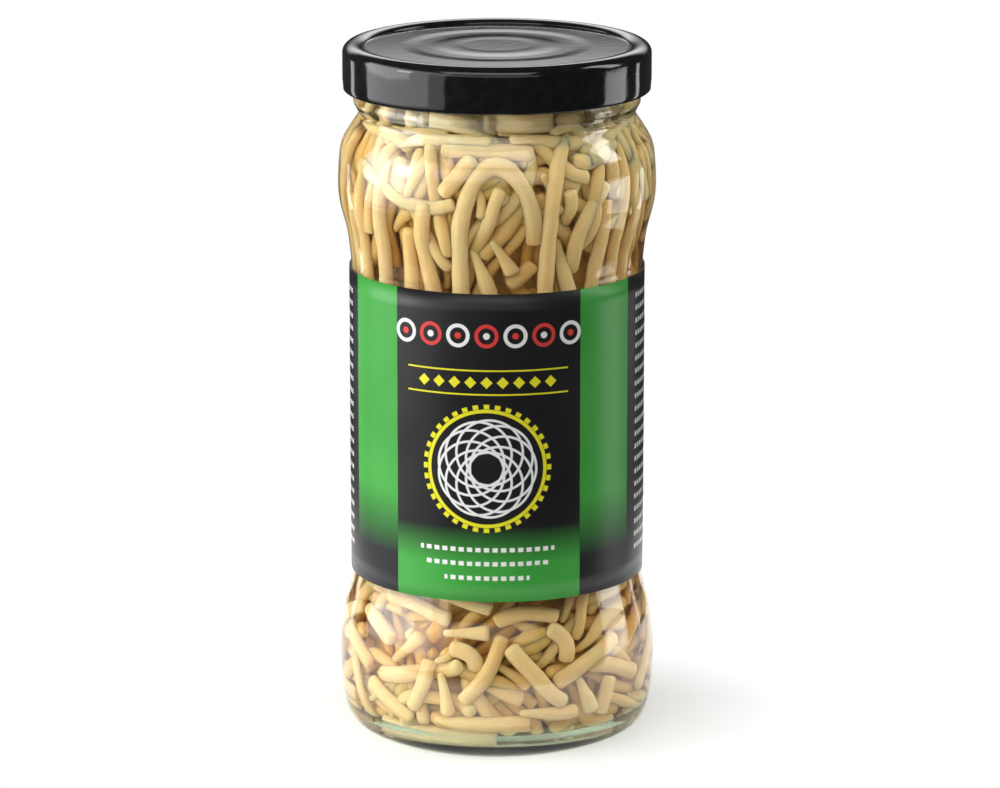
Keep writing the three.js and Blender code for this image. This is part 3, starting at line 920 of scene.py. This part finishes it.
def settle(strands, radii, held, rounds):
    """Pushes overlapping stems apart inside the jar, as rods that keep their length and much of their
    bend. held is how firmly each keeps the place where it began."""
    sizes = [len(s) for s in strands]
    points = np.vstack(strands)
    begin = points.copy()
    owner = np.repeat(np.arange(len(strands)), sizes)
    ball = np.repeat(radii, sizes)
    hold = np.repeat(held, sizes)[:, None]
    index = np.arange(len(points))
    links = []
    for apart in (1, 2):
        a = index[:-apart][owner[:-apart] == owner[apart:]]
        rest = np.linalg.norm(begin[a + apart] - begin[a], axis=1)
        links.append((a, a + apart, rest, 1.0 if apart == 1 else BEND_KEPT))
    table_z = np.linspace(LOWEST, 150, 289)
    table_r = np.array([reach(z, STEM) for z in table_z]) + STEM
    outer = np.repeat([np.hypot(s[:, 0], s[:, 1]).min() > ACROSS for s in strands], sizes)
    press = np.where(hold[:, 0] > FIRM, FIRM_PRESS, LOOSE_PRESS)
    for turn in range(rounds):
        if turn % 6 == 0:
            first, second = close_pairs(points, SEARCH)
            apart = (owner[first] != owner[second]) | (np.abs(first - second) > 3)
            first, second = first[apart], second[apart]
        gap = points[second] - points[first]
        distance = np.linalg.norm(gap, axis=1) + 1e-9
        overlap = ball[first] + ball[second] - SQUEEZE - distance
        hit = overlap > 0
        push = gap[hit] / distance[hit, None] * (overlap[hit] * 0.5)[:, None]
        move = np.zeros_like(points)
        count = np.zeros(len(points))
        np.add.at(move, first[hit], -push)
        np.add.at(move, second[hit], push)
        np.add.at(count, first[hit], 1)
        np.add.at(count, second[hit], 1)
        points += move / np.maximum(count, 1)[:, None] * PUSH
        for a, b, rest, strength in links:
            leg = points[b] - points[a]
            long = np.linalg.norm(leg, axis=1) + 1e-9
            fix = leg * ((long - rest) / long * 0.5 * strength)[:, None]
            move = np.zeros_like(points)
            np.add.at(move, a, fix)
            np.add.at(move, b, -fix)
            points += move * STRAIGHTEN
        points += (begin - points) * hold
        points[:, 2] -= SINK * (points[:, 2] < SINK_BELOW)
        points[:, 2] = np.clip(points[:, 2], LOWEST + ball, BRINE_Z - SURFACE_GAP - ball)
        out = np.hypot(points[:, 0], points[:, 1]) + 1e-9
        most = np.interp(points[:, 2], table_z, table_r) - ball - GLASS_GAP
        least = np.minimum(most - CORE_DEPTH + 2 * ball, most)
        wanted = np.where(outer, np.clip(out + press, least, most), np.minimum(out, most))
        points[:, :2] *= (wanted / out)[:, None]
    inner = np.where(owner[:-2] == owner[2:])[0] + 1
    for _ in range(3):
        points[inner] += 0.5 * ((points[inner - 1] + points[inner + 1]) / 2 - points[inner])
    cuts = np.cumsum(sizes)[:-1]
    return np.split(points, cuts)


def frames_along(path):
    """Two unit vectors across a path at each of its points, carried along it without twist."""
    tangent = np.gradient(path, axis=0)
    tangent /= np.linalg.norm(tangent, axis=1)[:, None] + 1e-12
    start = np.array([0.0, 0.0, 1.0])
    if abs(tangent[0] @ start) > 0.9:
        start = np.array([1.0, 0.0, 0.0])
    across = np.zeros_like(path)
    side = start - tangent[0] * (start @ tangent[0])
    for i, t in enumerate(tangent):
        side = side - t * (side @ t)
        side = side / (np.linalg.norm(side) + 1e-12)
        across[i] = side
    return across, np.cross(tangent, across)


class Strands:
    """Collects tubes into one mesh. Its tint holds tone, painted shade by depth and seed head, and its skin
    the place on each tube: cosine and sine round it, and the length along it."""

    def __init__(self, name, sides):
        self.name, self.sides = name, sides
        self.vertices, self.faces, self.tints, self.skins = [], [], [], []
        self.total = 0

    def tube(self, path, thick, oval, tint, along):
        """thick is the radius at each point between the two end points; oval flattens the section."""
        across, over = frames_along(path)
        turn = np.arange(self.sides) * 2 * math.pi / self.sides
        wide = across[1:-1, None] * (thick[1:-1] * oval[0])[:, None, None]
        tall = over[1:-1, None] * (thick[1:-1] * oval[1])[:, None, None]
        ring = np.cos(turn)[None, :, None] * wide + np.sin(turn)[None, :, None] * tall
        body = (path[1:-1, None] + ring).reshape(-1, 3)
        rows, n, base = len(path) - 2, self.sides, self.total
        self.vertices.append(np.vstack([body, path[:1], path[-1:]]))
        first, last = base + rows * n, base + rows * n + 1
        for i in range(rows - 1):
            for k in range(n):
                a, b = base + i * n + k, base + i * n + (k + 1) % n
                self.faces.append((a, b, b + n, a + n))
        top = base + (rows - 1) * n
        for k in range(n):
            m = (k + 1) % n
            self.faces.append((first, base + m, base + k))
            self.faces.append((last, top + k, top + m))
        self.tints.append(np.vstack([np.repeat(tint[1:-1], n, axis=0), tint[:1], tint[-1:]]))
        round_it = np.tile(np.stack([np.cos(turn), np.sin(turn)], axis=1), (rows, 1))
        skin = np.hstack([round_it, np.repeat(along[1:-1], n)[:, None]])
        self.skins.append(np.vstack([skin, [0, 0, along[0]], [0, 0, along[-1]]]))
        self.total += rows * n + 2

    def finish(self, material):
        piece = mesh_object(self.name, np.vstack(self.vertices), self.faces)
        layer = piece.data.color_attributes.new("tint", "FLOAT_COLOR", "POINT")
        colors = np.hstack([np.vstack(self.tints), np.ones((self.total, 1))])
        layer.data.foreach_set("color", colors.ravel())
        skin = piece.data.attributes.new("skin", "FLOAT_VECTOR", "POINT")
        skin.data.foreach_set("vector", np.vstack(self.skins).ravel())
        piece.data.materials.append(material)
        return piece


def painted_depth_shade(path):
    """How much painted shade each point gets, from 0 to 1, growing with its depth behind the glass, and
    much less at the top of the tangle.
    """
    out = np.hypot(path[:, 0], path[:, 1])
    depth = np.clip((wall_radius(path[:, 2]) - out - 2.4) / 4.3, 0, 1)
    # painted light: the shade is mostly taken away at the top, where the lid shades the stems
    return depth * (1 - 0.85 * smooth_step(path[:, 2], 133, 139))


def add_stem(strands, nodes, radius, draw):
    """One stem: its ends cut and rounded, one sometimes drawn out, its skin slightly uneven."""
    dense = catmull(nodes, 8 * len(nodes))
    legs = np.linalg.norm(np.diff(dense, axis=0), axis=1)
    run = np.concatenate([[0], np.cumsum(legs)])
    total = run[-1]
    rounding = radius * draw(0.35, 0.8)
    corner = np.radians([0, 30, 60])
    cap = rounding * (1 - np.cos(corner))
    body = np.linspace(rounding, total - rounding, max(3, int(total / RING_STEP)))
    along = np.concatenate([[0], cap, body, (total - cap)[::-1], [total]])
    path = np.stack([np.interp(along, run, dense[:, k]) for k in range(3)], axis=1)
    left, right = np.minimum(along, rounding), np.minimum(total - along, rounding)
    inset = np.zeros(len(along))
    for near in (left, right):
        inset += rounding - np.sqrt(np.maximum(0, rounding**2 - (rounding - near) ** 2))
    thin_end = draw(0, 1) > 0.62
    taper = 1 - 0.55 * (1 - smooth_step(along, 0, draw(5, 12))) * thin_end
    wave = 0.04 * np.sin(along * draw(0.2, 0.45) + draw(0, 6.3)) + 0.02 * np.sin(along * draw(0.7, 1.1))
    thick = (radius - inset) * (1 + wave) * taper
    # the second channel is painted shade, growing with depth behind the glass
    tint = np.stack([np.full(len(path), draw(0, 1)), painted_depth_shade(path), np.zeros(len(path))], axis=1)
    strands.tube(path, thick, (1.04, draw(0.82, 1.0)), tint, along)


SEED_HALF_LENGTH = 4.3
SEED_RADIUS = 2.1


def unit(vector):
    return vector / np.linalg.norm(vector)


def add_bean(strands, middle, direction, draw):
    """A seed head: two plump halves, side by side."""
    direction = unit(direction)
    outward = unit(np.array([middle[0], middle[1], 0]))
    aside = unit(np.cross(direction, outward))
    t = np.linspace(-1, 1, 11)
    plump = np.sqrt(np.clip(1 - t**2, 0, 1))
    for sign in (-1, 1):
        path = middle + sign * aside * (0.95 * plump**0.7)[:, None]
        path = path + direction * (t * SEED_HALF_LENGTH)[:, None]
        # seed heads take half the painted shade by depth
        tint = np.stack([np.full(len(t), draw(0, 1)), painted_depth_shade(path) * 0.5, np.full(len(t), 0.85)], axis=1)
        strands.tube(path, SEED_RADIUS * plump, (0.85, 0.85), tint, 10 + 4 * t)


def laid_stems():
    """Lays all the stems. Returns routes, how firmly each is held, radii, and how many are main ones."""
    draw = Draws(SEED)
    routes = [wall_route(route) for route in FRONT_HIGH + FRONT_LOW]
    held = [HELD_FRONT] * len(routes)
    for row in ROWS:
        for i in range(row[0]):
            routes.append(wall_route(ruled_stem(draw, row, i)))
            held.append(HELD_RULED)
    for count, z, half_width in LEVELS:
        for i in range(count):
            routes.append(catmull(level_stem(draw, z, i, count, half_width), LEVEL_POINTS))
            held.append(HELD_LEVEL)
    main_count = len(routes)
    radii = [MAIN_STEM] * main_count
    fill = Draws(SEED + 1)
    for count, heights, headings, lengths, depths in FILLERS:
        for _ in range(count):
            routes.append(wall_route(filler_route(fill, heights, headings, lengths, depths)))
            held.append(HELD_FILLER)
            radii.append(STEM * fill(*THINNER))
    for i in range(TOP_LAYER):
        z = SPROUTS_HIGH - STEM + fill(*TOP_SPREAD)
        routes.append(catmull(level_stem(fill, z, i, TOP_LAYER, 26), LEVEL_POINTS))
        held.append(HELD_TOP)
        radii.append(STEM * fill(*THINNER))
    return routes, held, radii, main_count


def sprouts():
    routes, held, radii, main_count = laid_stems()
    strands = [even(route, NODE_SPACING) for route in routes]
    strands = settle(strands, np.array(radii), np.array(held), ROUNDS)
    looks = Draws(SEED + 2)
    outer, inner = Strands("sprout_stems", 12), Strands("sprout_stems_behind", 9)
    for i, (nodes, radius) in enumerate(zip(strands, radii)):
        add_stem(outer if i < main_count else inner, nodes, radius, looks)
    for (azimuth, height, depth), tilt in FRONT_BEANS:
        middle = np.array(on_wall(azimuth, height, depth + 0.45))
        a, lean = math.radians(azimuth), math.radians(tilt)
        direction = np.array([math.sin(lean) * math.cos(a), math.sin(lean) * math.sin(a), math.cos(lean)])
        add_bean(outer, middle, direction, looks)
    flesh = sprout_material()
    for piece in (outer.finish(flesh), inner.finish(flesh), packed_core(flesh)):
        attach(piece, "jar")
        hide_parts("sprouts")


CORE_LUMPS = [(0.45, 9, 0.7, 0), (0.45, 13, -0.5, 2), (0.45, 5, 1.1, 0)]


def packed_core(material):
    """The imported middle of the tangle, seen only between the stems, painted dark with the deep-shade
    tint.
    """
    heights = np.linspace(SPROUTS_LOW + 3, SPROUTS_HIGH - 3, 60)
    profile = [(0, heights[0])] + [(wall_radius(z) - CORE_DEPTH, z) for z in heights] + [(0, heights[-1])]

    def lumps(r, azimuth, z):
        return r + waves(azimuth, z, CORE_LUMPS), azimuth, z

    core = turned("sprout_core", profile, 90, lumps)
    layer = core.data.color_attributes.new("tint", "FLOAT_COLOR", "POINT")
    # painted shade: the core takes nearly the full depth shade, so it reads as darkness between the stems
    layer.data.foreach_set("color", np.tile([0.6, 0.9, 0.0, 1.0], len(core.data.vertices)))
    core.data.materials.append(material)
    return core


# Studio
TABLE_RADIUS = 150
TABLE_BACK = 55  # how far the table's middle lies behind the jar
FLOOR_GLOW = 0.95
ROOM = 0.05  # brightness of the dark room
BACK = 3.2  # added by the light wall behind the jar
# azimuth (0 in front, positive to the right), elevation, distance, width, height, radiance
SOFTBOXES = {
    "left_panel": (-75, 12, 800, 1250, 850, 1.2),
    "left_panel_middle": (-81, 12, 800, 950, 650, 1.5),
    "left_panel_heart": (-88, 12, 800, 650, 450, 2.0),
    "left_window": (-71, 13, 780, 180, 200, 5.0),
    "right_window": (97, 34, 800, 190, 560, 5.0),
    "right_low_window": (98, -9, 800, 330, 200, 3.2),
    "left_strip": (-134, -8.5, 800, 80, 170, 2.2),
    "right_strip": (127, -8.5, 800, 70, 170, 2.4),
    "front_fill": (-8, 50, 900, 900, 420, 2.3),
    "low_fill": (-8, 17, 900, 1400, 300, 1.15),
}


def floor():
    """A round white table that glows a little, as a light table does, so that shadows stay soft. The glow
    is weaker towards the jar, which paints shade round its foot.
    """
    turns = np.linspace(0, 2 * math.pi, 97)[:-1]
    rim = [(TABLE_RADIUS * math.sin(a), TABLE_BACK - TABLE_RADIUS * math.cos(a), -0.05) for a in turns]
    plane = mesh_object("studio_floor", rim, [tuple(range(96))], smooth=False)
    n = Nodes("pale_floor")
    grain = n.noise(8, 2)
    color = n.mix(grain, (0.90, 0.90, 0.90), (0.88, 0.88, 0.88))
    place = n.node("ShaderNodeTexCoord")
    away = n.node("ShaderNodeVectorMath", operation="LENGTH")
    n.put(place.outputs["Object"], away.inputs[0])
    shader = n.surface(
        Base_Color=color,
        Roughness=0.7,
        Specular_IOR_Level=0.1,
        Emission_Color=(1.0, 1.0, 1.0),
        # painted shade: the glow drops towards the jar's foot
        Emission_Strength=n.ramp(away.outputs["Value"], 0.032, 0.13, 0.3 * FLOOR_GLOW, FLOOR_GLOW),
    )
    plane.data.materials.append(n.finish(shader))


def softbox(name, azimuth, elevation, distance, width, height, radiance):
    lamp = bpy.data.lights.new(name, "AREA")
    lamp.shape = "RECTANGLE"
    lamp.size, lamp.size_y = width * MM, height * MM
    lamp.energy = radiance * math.pi * lamp.size * lamp.size_y
    obj = bpy.data.objects.new(name, lamp)
    bpy.context.scene.collection.objects.link(obj)
    a, e = math.radians(azimuth), math.radians(elevation)
    aim = Vector((0, 0, CAMERA_TARGET_Z * MM))
    away = Vector((math.sin(a) * math.cos(e), -math.cos(a) * math.cos(e), math.sin(e)))
    obj.location = aim + away * distance * MM
    obj.rotation_euler = (-away).to_track_quat("-Z", "Y").to_euler()


class WorldNodes(Nodes):
    """The same short names, for the nodes of the world."""

    def __init__(self, name):
        self.world = bpy.data.worlds.new(name)
        self.world.use_nodes = True
        self.tree = self.world.node_tree
        self.tree.nodes.clear()
        self.output = self.node("ShaderNodeOutputWorld")

    def background(self, color, strength):
        made = self.node("ShaderNodeBackground")
        self.put(color, made.inputs["Color"])
        self.put(strength, made.inputs["Strength"])
        return made.outputs[0]


def world():
    """White for the eye. For everything else: a dark room with a light wall behind the jar."""
    n = WorldNodes("studio")
    parts = n.node("ShaderNodeSeparateXYZ")
    n.put(n.node("ShaderNodeTexCoord").outputs["Generated"], parts.inputs[0])
    wall = 1.0
    for axis, low, high in (("Y", 0.78, 0.96), ("Z", 0.10, 0.40), ("Z", 0.85, 0.5)):
        wall = n.math("MULTIPLY", wall, n.ramp(parts.outputs[axis], low, high, kind="SMOOTHSTEP"))
    choose = n.node("ShaderNodeMixShader")
    n.put(n.node("ShaderNodeLightPath").outputs["Is Camera Ray"], choose.inputs[0])
    n.put(n.background((1.0, 1.0, 1.0), 1.0), choose.inputs[2])
    n.put(n.background((1.0, 0.99, 0.975), n.math("MULTIPLY_ADD", wall, BACK, ROOM)), choose.inputs[1])
    n.put(choose.outputs[0], n.output.inputs["Surface"])
    bpy.context.scene.world = n.world


def studio():
    floor()
    world()
    for name, place in SOFTBOXES.items():
        softbox(name, *place)
    bpy.context.scene.view_settings.view_transform = "Standard"


def camera():
    pitch = math.radians(CAMERA_PITCH)
    lens = bpy.data.cameras.new("camera")
    lens.sensor_width = 36.0
    lens.lens = CAMERA_LENS
    lens.shift_x = AXIS_LEFT_OF_MIDDLE / PICTURE_WIDTH
    lens.clip_end = 20
    eye = bpy.data.objects.new("camera", lens)
    bpy.context.scene.collection.objects.link(eye)
    back, up = CAMERA_DISTANCE * math.cos(pitch), CAMERA_DISTANCE * math.sin(pitch)
    eye.location = (0, -back * MM, (CAMERA_TARGET_Z + up) * MM)
    eye.rotation_euler = (math.radians(90 - CAMERA_PITCH), 0, 0)
    bpy.context.scene.camera = eye


camera()
studio()
glass_jar()
brine()
lid()
seal()
label()
sprouts()
